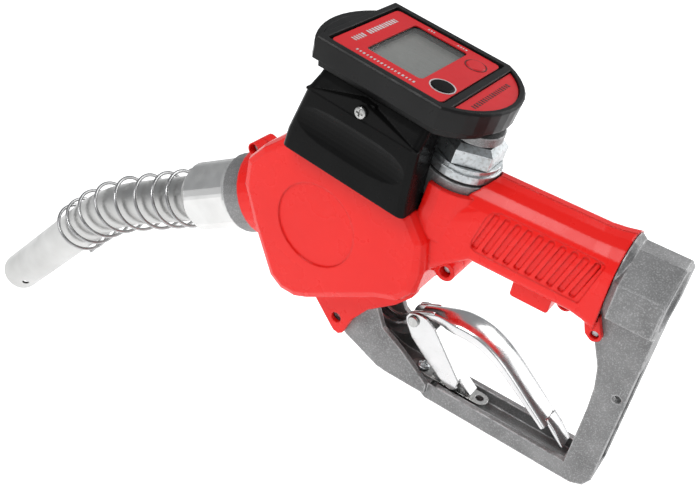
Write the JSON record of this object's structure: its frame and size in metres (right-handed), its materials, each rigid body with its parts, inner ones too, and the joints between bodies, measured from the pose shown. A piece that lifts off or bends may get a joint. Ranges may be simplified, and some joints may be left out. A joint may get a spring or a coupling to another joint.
{
  "type": "fuel nozzle",
  "caption": "Automatic fuel nozzle with red covers, guard loop, squeeze lever, hold-open clip, sprung spout and a digital flow meter on its back.",
  "frame": {"origin": "centre of the inlet bore in the rear face of the octagonal boss", "axes": "+X out of the inlet towards the hose, +Z to the meter side, -Y the nozzle's left side"},
  "size_m": [0.3924, 0.0642, 0.2663],
  "materials": {
    "acetal": "moulded",
    "black_plastic": "glossy moulded",
    "brass": "machined",
    "cast_aluminium": "cast, mottled",
    "chrome": "bright plated",
    "circuit_green": "solder mask",
    "clear_window": "clear",
    "dark_plastic": "matt moulded",
    "fascia_red": "printed label",
    "lcd_grey": "liquid-crystal panel",
    "red_plastic": "glossy moulded",
    "rubber": "matt",
    "satin_steel": "satin",
    "zinc": "zinc plated"
  },
  "bodies": {
    "nozzle": {"battery_cap": "dark_plastic", "body_casting": "cast_aluminium", "chamber_gasket": "rubber", "check_guide": "acetal", "check_seat": "brass", "check_spring": "satin_steel", "circuit_board": "circuit_green", "coin_cell": "satin_steel", "diaphragm": "rubber", "diaphragm_cap": "cast_aluminium", "diaphragm_spring": "satin_steel", "display_housing": "dark_plastic", "fascia_label": "fascia_red", "fascia_plate": "dark_plastic", "flap_screw": "zinc", "gland_nut": "brass", "handle_screw": "zinc", "latch_plunger": "satin_steel", "lcd_panel": "lcd_grey", "left_cover": "red_plastic", "lever_pin": "satin_steel", "main_spring": "satin_steel", "meter_chamber": "cast_aluminium", "meter_head": "cast_aluminium", "meter_shroud": "black_plastic", "neck_screw": "zinc", "nose_screw": "zinc", "outlet_fitting": "brass", "outlet_seal": "rubber", "rack_plate": "satin_steel", "rack_screw": "zinc", "rear_label": "fascia_red", "rear_screw": "zinc", "right_cover": "red_plastic", "screen_window": "clear_window", "shroud_screw_left": "satin_steel", "shroud_screw_right": "satin_steel", "spout_nut": "satin_steel", "spout_seal": "rubber", "spout_spring": "chrome", "spout_tube": "satin_steel", "stem_packing": "rubber", "union_flange": "zinc", "union_gasket": "rubber", "union_nut": "zinc", "vent_tube": "brass"},
    "lever": {"lever": "chrome", "clip_pin": "satin_steel"},
    "clip": {"hold_open_clip": "chrome"},
    "main_valve": {"valve_stem": "satin_steel", "main_poppet": "brass", "poppet_seal": "rubber"},
    "check_valve": {"check_poppet": "acetal"},
    "latch_release": {"latch_pin": "brass"},
    "reset": {"reset_button": "black_plastic"},
    "calibrate": {"calibration_button": "fascia_red"},
    "gear_a": {"oval_gear_a": "acetal"},
    "gear_b": {"oval_gear_b": "acetal"}
  },
  "joints": [
    {"name": "lever_squeeze", "type": "hinge", "parent": "nozzle", "child": "lever", "pos_m": [-0.148, 0, -0.066], "axis": [0, -1, 0], "range_deg": [0, 13], "stiffness_Nm_per_rad": 0.5, "springref_deg": -11.46},
    {"name": "clip_swing", "type": "hinge", "parent": "lever", "child": "clip", "pos_m": [-0.1, 0, -0.0666], "axis": [0, -1, 0], "range_deg": [0, 14]},
    {"name": "valve_lift", "type": "slide", "parent": "nozzle", "child": "main_valve", "axis": [0, 0, 1], "range_m": [0, 0.005], "stiffness_N_per_m": 500, "springref_m": -0.002, "deforming": ["main_spring"]},
    {"name": "check_lift", "type": "slide", "parent": "nozzle", "child": "check_valve", "axis": [-0.8643, 0, -0.503], "range_m": [0, 0.003], "stiffness_N_per_m": 100, "springref_m": -0.002},
    {"name": "latch_pin_lift", "type": "slide", "parent": "nozzle", "child": "latch_release", "axis": [0, 0, 1], "range_m": [0, 0.0012], "stiffness_N_per_m": 100, "springref_m": -0.002, "deforming": ["diaphragm_spring"]},
    {"name": "reset_press", "type": "slide", "parent": "nozzle", "child": "reset", "axis": [-0.1207, 0, -0.9927], "range_m": [0, 0.001], "stiffness_N_per_m": 400, "springref_m": -0.0005},
    {"name": "calibration_press", "type": "slide", "parent": "nozzle", "child": "calibrate", "axis": [-0.1207, 0, -0.9927], "range_m": [0, 0.001], "stiffness_N_per_m": 400, "springref_m": -0.0005},
    {"name": "gear_a_spin", "type": "hinge", "parent": "nozzle", "child": "gear_a", "pos_m": [-0.1401, -0.01, 0.01919], "axis": [0.1207, 0, 0.9927], "continuous": true},
    {"name": "gear_b_spin", "type": "hinge", "parent": "nozzle", "child": "gear_b", "pos_m": [-0.1401, 0.01, 0.01919], "axis": [0.1207, 0, 0.9927], "continuous": true}
  ],
  "couplings": [
    {"joint": "valve_lift", "follows": "lever_squeeze", "m_per_rad": 0.022},
    {"joint": "gear_b_spin", "follows": "gear_a_spin", "ratio": -1}
  ]
}
